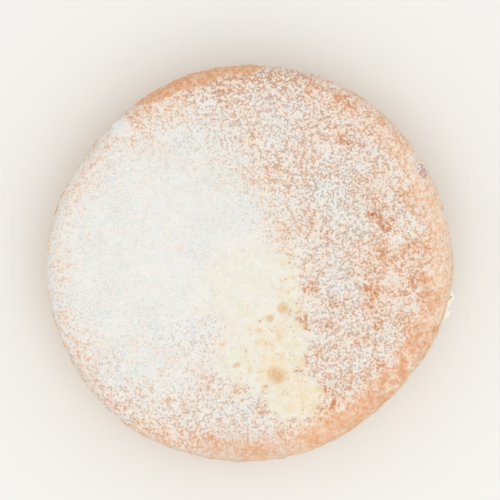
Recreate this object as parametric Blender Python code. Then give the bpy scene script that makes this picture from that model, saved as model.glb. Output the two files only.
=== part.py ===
"""A round sandwich sponge cake: two sponges with jam and whipped cream between them.

The cake stands on Z = 0. Seen from above, +X is to the right and +Y is up. Each layer
starts as a cap over its top, is extruded ring by ring down its side, and is closed below.
Lengths are in metres and angles in radians.
"""

import math

import bmesh
import bpy
from mathutils import Vector, noise

# Sizes of the whole cake
RADIUS = 0.0985
LOWER_HEIGHT = 0.0220
JAM_HEIGHT = 0.0017
CREAM_HEIGHT = 0.0090
UPPER_HEIGHT = 0.0215
DOME = 0.0026
GAP = 0.0003

# Heights of the seams, each layer resting a gap above the one below it
JAM_BASE = LOWER_HEIGHT + GAP
JAM_TOP = JAM_BASE + JAM_HEIGHT
CREAM_BASE = JAM_TOP + GAP
CREAM_TOP = CREAM_BASE + CREAM_HEIGHT
UPPER_BASE = CREAM_TOP + GAP
UPPER_RIM = UPPER_BASE + UPPER_HEIGHT

# The sponge's outline: waves in one turn, share of the radius, angle of the first crest
OUTLINE_WAVES = (
    (2, 0.0173, math.radians(28)),
    (3, 0.0041, math.radians(-13)),
    (4, 0.0066, math.radians(0)),
    (6, 0.0049, math.radians(-7)),
)

# The rounds at the edges of the sponges, and how the layers depart from a true stack
SHOULDER = 0.0090
SHOULDER_DEPTH = 0.0100
LOWER_EDGE = 0.0030
FOOT_EDGE = 0.0030
CUT_EDGE = 0.0016
WALL_BELLY = 0.0008
WALL_PACE = 4.0
LOWER_INSET = 0.0010
LOWER_TURN = math.radians(9)
LEAN = 0.006
LEAN_TOWARDS = math.radians(-20)
SEAM_WAVE = 0.0018
SEAM_PACE = 2.2
FLAT_SHARE = 0.84
WAVE_ROW_STEP = 7.3

# Unevenness of the top crust
CRUST_SWELL = 0.0011
CRUST_SWELL_SPAN = 0.045
CRUST_RIPPLE = 0.0005
CRUST_RIPPLE_SPAN = 0.016
DOME_POWER = 3

# The filling's edge: mean reach past the outline, and how far it wanders
CREAM_REACH = -0.0004
CREAM_WANDER = 0.0040
CREAM_PACE = 5.0
CREAM_BULGE = 0.0040
CREAM_BULGE_AT = math.radians(-11.5)
CREAM_BULGE_SPAN = math.radians(8)
CREAM_BULGE_CORE = 0.3
CREAM_ROUND = 0.0030
CREAM_BLUNTNESS = 0.7
JAM_REACH = -0.00095
JAM_WANDER = 0.0006
JAM_PACE = 7.0
JAM_ROUND = 0.0008

# Where the top skin has come away: centre and half size of three ovals that run together
PEELED_DEPTH = 0.0009
PEELED_INSIDE = 0.88
PEELED_OUTSIDE = 1.06
PEELED_RAGGED = 0.16
PEELED_RAGGED_SPAN = 0.009
PEELED_OVALS = (
    (0.0032, -0.0133, 0.0237, 0.0207),
    (0.0067, -0.0405, 0.0222, 0.0222),
    (0.0215, -0.0652, 0.0140, 0.0120),
)

# Open bubbles in the bare crumb: centre, length, width, depth and turn
BUBBLES = (
    (0.0134, -0.0552, 0.0064, 0.0050, 0.0038, math.radians(-35)),
    (0.0170, -0.0222, 0.0038, 0.0030, 0.0022, math.radians(20)),
    (0.0104, -0.0262, 0.0028, 0.0024, 0.0018, math.radians(70)),
    (-0.0062, -0.0504, 0.0024, 0.0018, 0.0014, math.radians(10)),
    (-0.0170, -0.0286, 0.0022, 0.0018, 0.0014, math.radians(40)),
)

# Fineness of the meshes
CELLS = 32
SHOULDER_ROWS = 4
WALL_ROWS = 3
ROUND_ROWS = 2
CREAM_ROWS = 5
BUBBLE_SEGMENTS = 12
BUBBLE_RINGS = 8
SHARP_ANGLE = math.radians(50)


def smooth(low, high, value):
    """A soft step from 0 at low to 1 at high."""
    share = min(max((value - low) / (high - low), 0.0), 1.0)
    return share * share * (3.0 - 2.0 * share)


def outline(angle):
    """Distance from the axis to the sponge's side."""
    waves = sum(size * math.cos(count * (angle - crest)) for count, size, crest in OUTLINE_WAVES)
    return RADIUS * (1.0 + waves)


def wander(angle, pace, row):
    """A smooth irregular wave round the cake, about -0.5 to 0.5, each row its own."""
    return noise.noise(Vector((pace * math.cos(angle), pace * math.sin(angle), WAVE_ROW_STEP * row)))


def unevenness(x, y, span, row):
    """A smooth irregular surface of bumps about a span wide, each row its own."""
    return noise.noise(Vector((x / span, y / span, WAVE_ROW_STEP * row)))


def peeled(x, y):
    """How far the top skin is gone: 1 in the bare crumb, 0 on the crust."""
    nearest = min(math.hypot((x - cx) / half_x, (y - cy) / half_y)
                  for cx, cy, half_x, half_y in PEELED_OVALS)
    ragged = PEELED_RAGGED * unevenness(x, y, PEELED_RAGGED_SPAN, 2)
    return 1.0 - smooth(PEELED_INSIDE, PEELED_OUTSIDE, nearest + ragged)


def crust_height(x, y):
    """Height of the top crust: a low dome, gentle swells, and the peeled hollow."""
    share = math.hypot(x, y) / outline(math.atan2(y, x))
    swell = CRUST_SWELL * unevenness(x, y, CRUST_SWELL_SPAN, 1)
    ripple = CRUST_RIPPLE * unevenness(x, y, CRUST_RIPPLE_SPAN, 5)
    dome = DOME * (1.0 - share ** DOME_POWER)
    return UPPER_RIM + dome + swell + ripple - PEELED_DEPTH * peeled(x, y)


def settle(point):
    """Moves a point as the soft layers give: the top leans, and the seams rise and fall."""
    x, y, z = point
    angle = math.atan2(y, x)
    out = max(math.hypot(x, y) / outline(angle) - FLAT_SHARE, 0.0) / (1.0 - FLAT_SHARE)
    lean = LEAN * (x * math.cos(LEAN_TOWARDS) + y * math.sin(LEAN_TOWARDS))
    rise = lean * smooth(CREAM_BASE, CREAM_TOP, z)
    middle = smooth(0.0, LOWER_HEIGHT, z) * (1.0 - smooth(UPPER_BASE, UPPER_RIM, z))
    rise += SEAM_WAVE * wander(angle, SEAM_PACE, 1) * out * middle
    return Vector((x, y, z + rise))


def arc(rows, start=0, stop=None):
    """Turns of a quarter circle in equal rows, as pairs of sine and cosine."""
    stop = rows if stop is None else stop
    turns = [math.radians(90) * row / rows for row in range(start, stop + 1)]
    return [(math.sin(turn), math.cos(turn)) for turn in turns]


def flat_ring(angle, height):
    """A point of the ring inside which a seam is flat."""
    return FLAT_SHARE * outline(angle), height


def upper_profile(angle):
    """Upper sponge: the round shoulder, the wall with its slight belly, the lower edge."""
    edge = outline(angle)
    inner = edge - SHOULDER
    crest = crust_height(inner * math.cos(angle), inner * math.sin(angle))
    points = [(inner + SHOULDER * out, crest - SHOULDER_DEPTH * (1.0 - up))
              for out, up in arc(SHOULDER_ROWS)]
    wall_top = points[-1][1]
    wall_base = UPPER_BASE + CUT_EDGE
    for row in range(1, WALL_ROWS + 1):
        share = row / WALL_ROWS
        belly = WALL_BELLY * (math.sin(math.pi * share) + wander(angle, WALL_PACE, 2) * share)
        points.append((edge + belly, wall_top + (wall_base - wall_top) * share))
    last = points[-1][0] - CUT_EDGE
    for out, up in arc(ROUND_ROWS, 1):
        points.append((last + CUT_EDGE * up, UPPER_BASE + CUT_EDGE * (1.0 - out)))
    return points + [flat_ring(angle, UPPER_BASE)]


def lower_edge(angle):
    """Distance from the axis to the lower sponge's side."""
    return outline(angle - LOWER_TURN) - LOWER_INSET


def lower_edge_rings():
    """The lower sponge's rounded top edge, as ways in from its side and drops."""
    return [(LOWER_EDGE * (1.0 - out), LOWER_EDGE * (1.0 - up)) for out, up in arc(ROUND_ROWS + 1)]


def lower_drop(inset):
    """How far the lower sponge's top edge has dropped, a way in from its side."""
    rings = lower_edge_rings()
    place = min(inset, LOWER_EDGE)
    for (inner, high), (outer, low) in zip(rings, rings[1:]):
        if place >= outer:
            return high + (low - high) * (inner - place) / (inner - outer)
    return LOWER_EDGE


def lower_profile(angle):
    """Lower sponge: the rounded top edge, the wall, and the round at the foot."""
    edge = lower_edge(angle)
    points = [flat_ring(angle, LOWER_HEIGHT)]
    points += [(edge - inset, LOWER_HEIGHT - drop) for inset, drop in lower_edge_rings()]
    wall_top = LOWER_HEIGHT - LOWER_EDGE
    for row in range(1, WALL_ROWS + 1):
        share = row / WALL_ROWS
        belly = WALL_BELLY * (math.sin(math.pi * share) - wander(angle, WALL_PACE, 3) * share)
        points.append((edge + belly, wall_top + (FOOT_EDGE - wall_top) * share))
    last = points[-1][0] - FOOT_EDGE
    for out, up in arc(ROUND_ROWS, 1):
        points.append((last + FOOT_EDGE * up, FOOT_EDGE * (1.0 - out)))
    return points


def cream_reach(angle):
    """How far the cream's edge stands past the sponge's outline."""
    away = math.remainder(angle - CREAM_BULGE_AT, math.tau)
    core = CREAM_BULGE_CORE * CREAM_BULGE_SPAN
    bulge = CREAM_BULGE * (1.0 - smooth(core, CREAM_BULGE_SPAN, abs(away)))
    return CREAM_REACH + CREAM_WANDER * wander(angle, CREAM_PACE, 4) + bulge


def cream_profile(angle):
    """Cream: a fat rounded edge between two flat faces."""
    inner = outline(angle) + cream_reach(angle) - CREAM_ROUND
    points = [flat_ring(angle, CREAM_TOP)]
    for row in range(CREAM_ROWS + 1):
        turn = math.pi * row / CREAM_ROWS
        middle = 0.5 * (CREAM_TOP + CREAM_BASE)
        height = middle + 0.5 * CREAM_HEIGHT * math.cos(turn)
        points.append((inner + CREAM_ROUND * math.sin(turn) ** CREAM_BLUNTNESS, height))
    return points + [flat_ring(angle, CREAM_BASE)]


def jam_profile(angle):
    """Jam: a thin edge that sags over the lower sponge's rounded top edge."""
    side = lower_edge(angle)
    reach = side + JAM_REACH + JAM_WANDER * wander(angle, JAM_PACE, 6)
    under = JAM_BASE - lower_drop(side - reach)
    points = [flat_ring(angle, JAM_TOP), (reach - JAM_ROUND, JAM_TOP)]
    points += [(reach + 0.5 * JAM_ROUND, 0.5 * (JAM_TOP + under)), (reach, under)]
    for inset, drop in reversed(lower_edge_rings()[:2]):
        points.append((side - inset, JAM_BASE - drop))
    return points + [flat_ring(angle, JAM_BASE)]


def disc_cap(bm, profile):
    """A flat cap: one face whose rim is the profile's first ring."""
    count = 4 * CELLS
    rim = []
    for step in range(count):
        angle = math.tau * step / count
        radius, height = profile(angle)[0]
        rim.append(bm.verts.new((radius * math.cos(angle), radius * math.sin(angle), height)))
    bm.faces.new(rim)


def domed_cap(bm, profile):
    """A cap of even cells: a square grid bent into the disc inside the shoulder."""
    rows = []
    for row in range(CELLS + 1):
        verts = []
        for column in range(CELLS + 1):
            across = 2.0 * column / CELLS - 1.0
            along = 2.0 * row / CELLS - 1.0
            radius, angle = squared_circle(across, along)
            radius *= profile(angle)[0][0]
            x = radius * math.cos(angle)
            y = radius * math.sin(angle)
            verts.append(bm.verts.new((x, y, crust_height(x, y))))
        rows.append(verts)
    for near, far in zip(rows, rows[1:]):
        for column in range(CELLS):
            bm.faces.new((near[column], near[column + 1], far[column + 1], far[column]))


def squared_circle(across, along):
    """Takes a point of a square of half side 1 to the radius and angle it has in a disc."""
    if abs(across) >= abs(along):
        if across == 0.0:
            return 0.0, 0.0
        turn = 0.25 * math.pi * along / across
        return abs(across), turn if across > 0.0 else turn + math.pi
    turn = 0.5 * math.pi - 0.25 * math.pi * across / along
    return abs(along), turn if along > 0.0 else turn - math.pi


def layer(name, look, profile, cap):
    """Builds one layer of the cake: its cap, then its side ring by ring, then its base."""
    bm = bmesh.new()
    cap(bm, profile)
    edges = [edge for edge in bm.edges if edge.is_boundary]
    rows = len(profile(0.0))
    for row in range(1, rows):
        grown = bmesh.ops.extrude_edge_only(bm, edges=edges)["geom"]
        edges = [item for item in grown if isinstance(item, bmesh.types.BMEdge) and item.is_boundary]
        for vert in {vert for edge in edges for vert in edge.verts}:
            angle = math.atan2(vert.co.y, vert.co.x)
            radius, height = profile(angle)[row]
            vert.co = (radius * math.cos(angle), radius * math.sin(angle), height)
    bmesh.ops.edgeloop_fill(bm, edges=edges)
    for vert in bm.verts:
        vert.co = settle(vert.co)
    bmesh.ops.recalc_face_normals(bm, faces=bm.faces)
    mesh = bpy.data.meshes.new(name)
    bm.to_mesh(mesh)
    bm.free()
    mesh.materials.append(look)
    mesh.shade_smooth()
    mesh.set_sharp_from_angle(angle=SHARP_ANGLE)
    piece = bpy.data.objects.new(name, mesh)
    bpy.context.scene.collection.objects.link(piece)
    return piece


def cut_bubbles(sponge):
    """Cuts the open bubbles out of the top of the sponge."""
    bm = bmesh.new()
    for x, y, length, width, depth, turn in BUBBLES:
        made = bmesh.ops.create_uvsphere(bm, u_segments=BUBBLE_SEGMENTS, v_segments=BUBBLE_RINGS, radius=1.0)
        top = settle((x, y, crust_height(x, y)))
        for vert in made["verts"]:
            along = 0.5 * length * vert.co.x
            across = 0.5 * width * vert.co.y
            vert.co = (x + along * math.cos(turn) - across * math.sin(turn),
                       y + along * math.sin(turn) + across * math.cos(turn),
                       top.z + depth * vert.co.z)
    mesh = bpy.data.meshes.new("bubble_cutter")
    bm.to_mesh(mesh)
    bm.free()
    cutter = bpy.data.objects.new("bubble_cutter", mesh)
    bpy.context.scene.collection.objects.link(cutter)
    cutter.hide_render = True
    cutter.display_type = "WIRE"
    cut = sponge.modifiers.new("bubbles", "BOOLEAN")
    cut.operation = "DIFFERENCE"
    cut.solver = "EXACT"
    cut.object = cutter


def material(name, colour, roughness):
    """A plain surface of one linear colour."""
    look = bpy.data.materials.new(name)
    look.use_nodes = True
    shader = look.node_tree.nodes["Principled BSDF"]
    shader.inputs["Base Color"].default_value = (*colour, 1.0)
    shader.inputs["Roughness"].default_value = roughness
    shader.inputs["Metallic"].default_value = 0.0
    return look


def centre(pieces):
    """Shifts the cake sideways so that the middle of its box stands over the origin."""
    places = [vert.co for piece in pieces for vert in piece.data.vertices]
    middle_x = 0.5 * (min(place.x for place in places) + max(place.x for place in places))
    middle_y = 0.5 * (min(place.y for place in places) + max(place.y for place in places))
    for item in bpy.data.objects:
        item.location = (-middle_x, -middle_y, 0.0)


def main():
    for item in list(bpy.data.objects):
        bpy.data.objects.remove(item)
    crust = material("sponge_crust", (0.82, 0.58, 0.40), 0.85)
    crumb = material("sponge_side", (0.78, 0.50, 0.25), 0.90)
    cream = material("whipped_cream", (0.93, 0.89, 0.76), 0.45)
    jam = material("red_jam", (0.30, 0.015, 0.02), 0.15)
    lower = layer("sponge_lower", crumb, lower_profile, disc_cap)
    filling = layer("jam_layer", jam, jam_profile, disc_cap)
    whipped = layer("cream_layer", cream, cream_profile, disc_cap)
    upper = layer("sponge_upper", crust, upper_profile, domed_cap)
    cut_bubbles(upper)
    centre([lower, filling, whipped, upper])


main()
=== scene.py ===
"""The looks of a round sandwich sponge cake with jam and whipped cream between its sponges.

Every layer is a closed skin built ring by ring on the same outline as the solid it stands
for, with its relief in the mesh: dimples, pores, the hollow where the top skin has come
away, lobes of cream and runs of jam. Icing sugar and crumbs lie on the skin as small loose
pieces. Points on the cake are measured from its axis, +X right and +Y up as seen from above.
Lengths are in metres and angles in radians, but the lists of ovals are in millimetres.
"""

import math
import random

import bpy
import numpy as np
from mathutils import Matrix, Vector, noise


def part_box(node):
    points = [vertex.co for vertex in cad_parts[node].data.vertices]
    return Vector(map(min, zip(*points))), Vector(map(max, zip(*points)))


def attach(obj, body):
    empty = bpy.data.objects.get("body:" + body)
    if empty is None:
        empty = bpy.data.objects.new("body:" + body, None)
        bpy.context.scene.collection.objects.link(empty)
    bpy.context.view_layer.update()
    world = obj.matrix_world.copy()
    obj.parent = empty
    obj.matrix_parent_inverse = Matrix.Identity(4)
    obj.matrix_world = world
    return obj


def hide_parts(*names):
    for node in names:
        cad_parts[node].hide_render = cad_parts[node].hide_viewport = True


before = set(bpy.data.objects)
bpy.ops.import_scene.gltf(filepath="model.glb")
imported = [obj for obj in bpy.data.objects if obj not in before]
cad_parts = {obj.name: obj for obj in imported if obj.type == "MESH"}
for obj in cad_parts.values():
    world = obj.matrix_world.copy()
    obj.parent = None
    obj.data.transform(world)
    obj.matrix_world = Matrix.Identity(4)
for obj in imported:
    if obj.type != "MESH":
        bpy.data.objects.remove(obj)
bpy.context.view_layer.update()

# Sizes of the solids that the skins follow
RADIUS = 0.0985
LOWER_HEIGHT = 0.022
JAM_HEIGHT = 0.0017
CREAM_HEIGHT = 0.009
UPPER_HEIGHT = 0.0215
DOME = 0.0026
GAP = 0.0003
JAM_TOP = LOWER_HEIGHT + GAP + JAM_HEIGHT
CREAM_BASE = JAM_TOP + GAP
CREAM_TOP = CREAM_BASE + CREAM_HEIGHT
UPPER_BASE = CREAM_TOP + GAP
UPPER_RIM = UPPER_BASE + UPPER_HEIGHT
OUTLINE_WAVES = (
    (2, 0.0173, math.radians(28)),
    (3, 0.0041, math.radians(-13)),
    (4, 0.0066, math.radians(0)),
    (6, 0.0049, math.radians(-7)),
)
SHOULDER = 0.009
SHOULDER_DEPTH = 0.01
LOWER_EDGE = 0.003
FOOT_EDGE = 0.003
CUT_EDGE = 0.0016
WALL_BELLY = 0.0008
WALL_PACE = 4.0
LOWER_INSET = 0.001
LOWER_TURN = math.radians(9)
LEAN = 0.006
LEAN_TOWARDS = math.radians(-20)
SEAM_WAVE = 0.0018
SEAM_PACE = 2.2
FLAT_SHARE = 0.84
ROW_STEP = 7.3
CRUST_SWELL = (0.0011, 0.045)
CRUST_RIPPLE = (0.0005, 0.016)
CREAM_REACH = -0.0016
CREAM_WANDER = 0.004
CREAM_PACE = 5.0
CREAM_BULGE = 0.005
CREAM_BULGE_AT = math.radians(-11.5)
CREAM_BULGE_SPAN = math.radians(8)
CREAM_BULGE_CORE = 0.3
CREAM_OVERHANG = 0.0006

# The hollow where the top skin has come away, as ovals that run together
PEELED_DEPTH = 0.0009
PEELED_OVALS = (
    (3.2, -13.3, 23.7, 20.7),
    (6.7, -40.5, 22.2, 22.2),
    (21.5, -65.2, 14, 12),
)

# Open bubbles in the bare crumb: centre, length, width, depth, and turn in degrees
BUBBLES = (
    (13.4, -54.6, 10.4, 8, 3.2, -42),
    (16.7, -21.7, 5.8, 5, 2.2, 0),
    (10.5, -26.7, 4.3, 3.8, 1.8, 70),
    (-6.1, -49.5, 5, 2.7, 1.4, 35),
    (4.9, -32.7, 3.6, 3, 0.9, 0),
    (0.4, -51.8, 5, 2.2, 0.8, 100),
    (14.1, -35.7, 5, 1.8, 0.6, 75),
    (17.1, -44.7, 2.4, 1.6, 0.6, 20),
)
DEEPEST_BUBBLE = 0.0032

# Icing sugar: a film and the fine gaps in it. Each has a mean, and ovals that change it:
# centre, half size, what is added to the film and what is added to the gaps. They fade out
# between the two distances of the soft edge.
FILM_MEAN = 0.57
GAPS_MEAN = 0.66
SOFT_EDGE = (1.25, 0.4)
SUGAR_OVALS = (
    (-54, 5, 65, 72, 0.47, -0.52), (-20, 0, 46, 46, 0.2, -0.22),
    (-28, -74, 66, 28, 0.16, -0.06), (6, 75, 60, 26, 0.1, -0.02),
    (44, 37, 16, 24, 0.18, 0.06), (46, -6, 12, 14, 0.18, 0),
    (52, -46, 10, 9, 0.2, 0), (-63, 67, 7, 6, 0.3, -0.3),
    (55.5, 48.5, 4.5, 3.5, 0.25, -0.2), (50, 73, 9, 5, 0.2, -0.1),
    (64.5, 40, 4.5, 4.5, 0.25, -0.15), (73, 10, 5, 5, 0.26, -0.2),
    (70, -8, 5, 6, 0.26, -0.2), (72, -4, 20, 26, -0.24, 0),
    (30, -73, 20, 14, -0.4, 0), (60, 55, 32, 34, -0.05, -0.01),
    (64, -28, 24, 40, -0.05, 0), (36, -21, 14, 26, 0.1, -0.02),
    (-28, -30, 36, 15, 0, 0.3), (-74, -60, 22, 16, 0.14, -0.05),
    (-28, -4, 24, 13, 0, 0.18), (-43, 79, 20, 9, -0.14, -0.16),
    (37, 84.5, 12, 9, -0.07, -0.12), (84, 50, 8, 11, 0.2, -0.04),
    (96.5, 6, 5, 12, 0.16, 0), (-53, -77.5, 16, 10, 0.1, -0.03),
)

# Spots with little sugar, where the crust shows: centre, half size and how brown they are
BARE_OVALS = (
    (30, 89, 6, 5, 0.35), (45, 81.5, 3, 4, 0.3), (49, 76, 3, 4, 0.3),
    (65, 71, 3, 3, 0.3), (44.2, 61, 2.2, 2.6, 0.4), (49.5, 59.4, 1.8, 1.2, 0.8),
    (58.9, 24.3, 1.8, 1.4, 0.8), (61.7, 22.8, 3.2, 3, 1), (66, 17.2, 3.2, 1.8, 0.9),
    (68.2, 20.5, 1.6, 1.6, 0.7), (70.5, 22.5, 2, 1.4, 0.6), (64.6, 27, 1, 1.6, 0.7),
    (81.5, 8, 9.5, 4, 0.42), (80, 31, 4, 6, 0.15), (84, -8, 6, 5, 0.2),
    (59.6, -15, 4.4, 8, 0.45), (65.5, 5.5, 3, 4, 0.28), (41.2, -18.4, 4.5, 3.2, 0.45),
    (29.6, -12.5, 4, 4.5, 0.4), (25.5, -27.5, 3, 4.5, 0.4), (40.5, -29.8, 4, 1.8, 0.4),
    (55.5, -38.5, 6.5, 3.2, 0.4), (34, -42.5, 2.8, 3.4, 0.35), (27.5, -46.5, 2.8, 3.4, 0.3),
    (49, -56.5, 4, 3.4, 0.4), (59, -59, 3.4, 5.4, 0.35), (42, -69, 1.8, 4, 0.55),
    (90.5, -32, 2.4, 2.4, 0.5), (5.5, -70.8, 3, 3, 0.5), (63, -30, 4, 3, 0.5),
    (84, -38, 6, 10, 0.34), (89, -18.5, 6, 7, 0.3), (75, -52, 3, 7, 0.35),
    (65.5, -56, 5, 8, 0.34), (50, -79.5, 9, 6, 0.22), (40, -86.5, 11, 4.5, 0.2),
    (47.4, -17.2, 3, 3, 0.35), (61, -68, 12, 10, 0.24), (65.5, -65.5, 8, 7, 0.34),
    (13, -82, 4, 3, 0.2), (-2, -91, 14, 3.5, 0.1), (-20, -86, 7, 3, 0.2),
    (-6, -63.5, 3.4, 4, 0.3), (-16.2, -28.3, 2, 2, 0.2), (-13.2, -40.5, 1.8, 2.4, 0.25),
    (4.4, -28.5, 2.4, 1.2, 0.4), (35.6, -62.2, 2.8, 1.4, 0.6), (26.5, -65.5, 12, 8, 0.22),
    (13.4, -53.5, 8, 7, 0.2), (12, -35, 10, 12, 0.12),
)

# Where the front of the crust is painted darker and greyer: painted shade
FRONT_SHADE_OVAL = (-4, -93, 34, 13)

# The bare stretch of shoulder, and the jam smeared on the rim
BARE_SHOULDER = (math.radians(86), math.radians(125))
SMEAR_AT = (0.0855, 0.0455)
SMEAR_SIZE = (0.0026, 0.0054)
SMEAR_TURN = math.radians(28)

# Fineness of the meshes
CELLS = 256
AROUND = 4 * CELLS
SHOULDER_ROWS = 12
UPPER_WALL_ROWS = 14
LOWER_WALL_ROWS = 20
EDGE_ROWS = 5

# Short runs of jam down the lower sponge
JAM_RUNS = 11
JAM_RUN_LENGTH = (0.0012, 0.0052)
JAM_RUN_WIDTH = (0.002, 0.004)

# Room round each part of a bake map, and the strips' share of the sides' part
MAP_MARGIN = 0.004
LID_ROOM = 0.94

# Width on the bake map of a hidden ring
HIDDEN_WIDTH = 0.002

# Loose pieces, and the rings of the cream's edge that catch crumbs
GRAINS = 17000
GRAIN_SIZE = (0.00014, 0.0004)
TOP_CRUMBS = 90
CREAM_CRUMBS = 120
CRUMB_SIZE = (0.0004, 0.0012)
CRUMB_RINGS = (5, 12)

# Span of the pores' pattern, and how light sinks into sponge
PORE_SPAN = 0.0021
SPONGE_DEPTH = {
    "Subsurface_Weight": 0.1,
    "Subsurface_Scale": 0.0008,
    "Subsurface_Radius": (1.0, 0.6, 0.35),
}

# The photographed view
LENS = 0.18
SENSOR = 0.036
FRAME_WIDTH = 0.2479
FRAME_PLANE = 0.046
FRAME_OFFSET = (0.0005, 0.0068)

# The floor and the light
FLOOR_SIZE = 30.0
STUDIO_STRENGTH = 0.88
LAMP_PLACE = (0.1, -0.3, 1.3)
LAMP_POWER = 4.0


def smooth(low, high, value):
    """A soft step from 0 at low to 1 at high."""
    share = np.clip((value - low) / (high - low), 0.0, 1.0)
    return share * share * (3.0 - 2.0 * share)


def circle(count):
    """Angles in even steps round the axis."""
    return np.linspace(0.0, math.tau, count, endpoint=False)


def outline(angle):
    """Distance from the axis to the sponge's side."""
    waves = sum(size * np.cos(count * (angle - crest)) for count, size, crest in OUTLINE_WAVES)
    return RADIUS * (1.0 + waves)


def lumps(x, y, z, span, row=0):
    """Smooth irregular bumps about a span wide at each place, about -0.5 to 0.5."""
    z = z + 0 * x
    places = zip(np.ravel(x / span), np.ravel(y / span), np.ravel(z / span + ROW_STEP * row))
    return np.fromiter((noise.noise(place) for place in places), float).reshape(np.shape(x))


def wander(angle, pace, row):
    """A smooth irregular wave round the cake, each row its own."""
    return lumps(pace * np.cos(angle), pace * np.sin(angle), 0, 1.0, row)


def dents(x, y, z, span, row=0):
    """Round dents about a span apart: 1 in the middle of a dent, 0 between dents."""
    places = zip(np.ravel(x / span), np.ravel(y / span), np.ravel(z / span + ROW_STEP * row))
    near = np.fromiter((noise.voronoi(place)[0][0] for place in places), float)
    return smooth(0.42, 0.0, near).reshape(np.shape(x))


def oval(x, y, *place):
    """Distance from an oval's centre, 1 on its edge."""
    centre_x, centre_y, half_x, half_y = np.array(place) / 1000
    return np.hypot((x - centre_x) / half_x, (y - centre_y) / half_y)


def peeled(x, y):
    """How far the top skin is gone: 1 in the bare crumb, 0 on the crust."""
    nearest = np.min([oval(x, y, *place) for place in PEELED_OVALS], axis=0)
    ragged = 0.16 * lumps(x, y, 0, 0.009, 2) + 0.16 * lumps(x, y, 0, 0.0035, 21)
    return smooth(1.04, 0.9, nearest + ragged)


def crumbly(x, y):
    """Fine crumb spread over the sugar round the bare patch: 1 in the patch, 0 well away."""
    nearest = np.min([oval(x, y, *place) for place in PEELED_OVALS], axis=0)
    return smooth(1.65, 0.85, nearest + 0.3 * lumps(x, y, 0, 0.01, 12))


def crust_height(x, y):
    """Height of the top crust without its hollow and dimples."""
    share = np.hypot(x, y) / outline(np.arctan2(y, x))
    swell = CRUST_SWELL[0] * lumps(x, y, 0, CRUST_SWELL[1], 1)
    ripple = CRUST_RIPPLE[0] * lumps(x, y, 0, CRUST_RIPPLE[1], 5)
    return UPPER_RIM + DOME * (1.0 - share ** 3) + swell + ripple


def settle(places):
    """Moves points as the soft layers give: the top leans, and the seams rise and fall."""
    x, y, z = places.T
    angle = np.arctan2(y, x)
    out = np.maximum(np.hypot(x, y) / outline(angle) - FLAT_SHARE, 0.0) / (1.0 - FLAT_SHARE)
    lean = LEAN * (x * math.cos(LEAN_TOWARDS) + y * math.sin(LEAN_TOWARDS))
    middle = smooth(0.0, LOWER_HEIGHT, z) * smooth(UPPER_RIM, UPPER_BASE, z)
    rise = lean * smooth(CREAM_BASE, CREAM_TOP, z)
    rise += SEAM_WAVE * wander(angle, SEAM_PACE, 1) * out * middle
    return np.stack([x, y, z + rise], axis=1)


def squared_disc(cells):
    """Radii and angles of an even square grid bent into a disc of radius 1."""
    steps = np.linspace(-1.0, 1.0, cells + 1)
    across, along = np.meshgrid(steps, steps)
    wide = np.abs(across) >= np.abs(along)
    longer = np.where(wide, across, along)
    shorter = np.where(wide, along, across)
    turn = 0.25 * math.pi * shorter / np.where(longer == 0.0, 1.0, longer)
    angle = np.where(wide, turn, 0.5 * math.pi - turn)
    angle = np.where(longer < 0.0, angle + math.pi, angle)
    return np.abs(longer), angle


def corners(grid):
    """The four corners of each cell of a grid."""
    return np.stack([grid[:-1, :-1], grid[:-1, 1:], grid[1:, 1:], grid[1:, :-1]], axis=2)


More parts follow.
